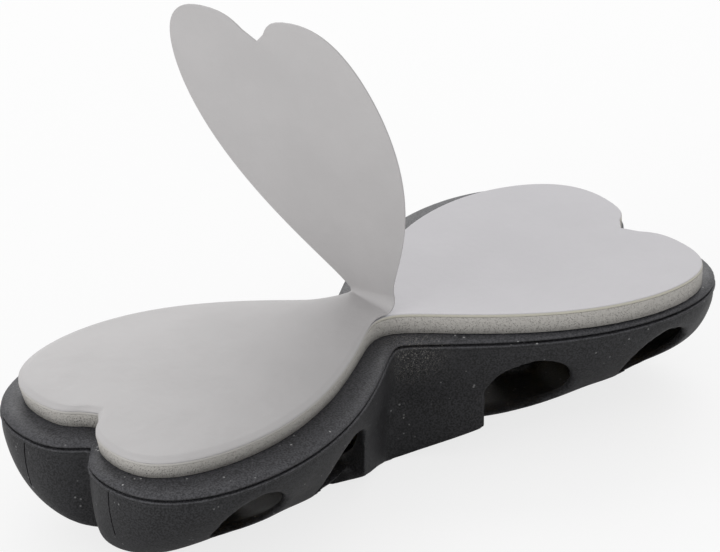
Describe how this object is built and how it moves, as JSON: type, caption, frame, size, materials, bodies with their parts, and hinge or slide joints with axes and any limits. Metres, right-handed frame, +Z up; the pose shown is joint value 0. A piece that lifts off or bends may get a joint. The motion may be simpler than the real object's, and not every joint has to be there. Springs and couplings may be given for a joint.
{
  "type": "crawling insect pheromone trap",
  "caption": "Low black trap housing shaped like two joined hearts, with arched entrances, a stick-on foam pad and a half-peeled release liner.",
  "frame": {"origin": "middle of the flat foot that the trap stands on", "axes": "+Z up towards the adhesive pad, +X from the left heart to the right heart, -Y towards the viewer of the picture"},
  "size_m": [0.113, 0.0493, 0.0749],
  "materials": {
    "moulded_black": "black moulded plastic, fine matte grain",
    "adhesive_film": "thin clear acrylic film",
    "foam": "closed-cell foam, cut edge with open cells",
    "adhesive_skin": "pale tacky adhesive on a film",
    "release_liner": "siliconised film, soft satin",
    "paper_card": "coated paper card",
    "sticky_coat": "clear amber insect glue, wet gloss",
    "moulded_grey": "grey moulded plastic",
    "lure_rubber": "red-brown rubber"
  },
  "bodies": {
    "shell": {"housing_shell": "moulded_black", "lure_cup": "moulded_grey", "lure_septum": "lure_rubber", "lure_lid": "moulded_grey"},
    "plate": {"base_plate": "moulded_black", "pad_tape": "adhesive_film", "foam_pad": "foam", "adhesive_skin": "adhesive_skin", "glue_card_left": "paper_card", "glue_card_right": "paper_card", "glue_layer_left": "sticky_coat", "glue_layer_right": "sticky_coat"},
    "liner": {"liner_left": "release_liner"},
    "flap": {"liner_flap": "release_liner"}
  },
  "joints": [
    {"name": "plate_lift", "type": "slide", "parent": "shell", "child": "plate", "axis": [0, 0, 1], "range_m": [0, 0.02]},
    {"name": "liner_peel", "type": "hinge", "parent": "plate", "child": "liner", "pos_m": [-0.05337, 0.00217, 0.02179], "axis": [-0.0593, -0.9982, 0], "range_deg": [0, 60]},
    {"name": "liner_fold", "type": "hinge", "parent": "liner", "child": "flap", "pos_m": [0.00044, -0.00103, 0.02475], "axis": [-0.0587, -0.9885, 0.1392], "range_deg": [-113.5, 30]}
  ]
}
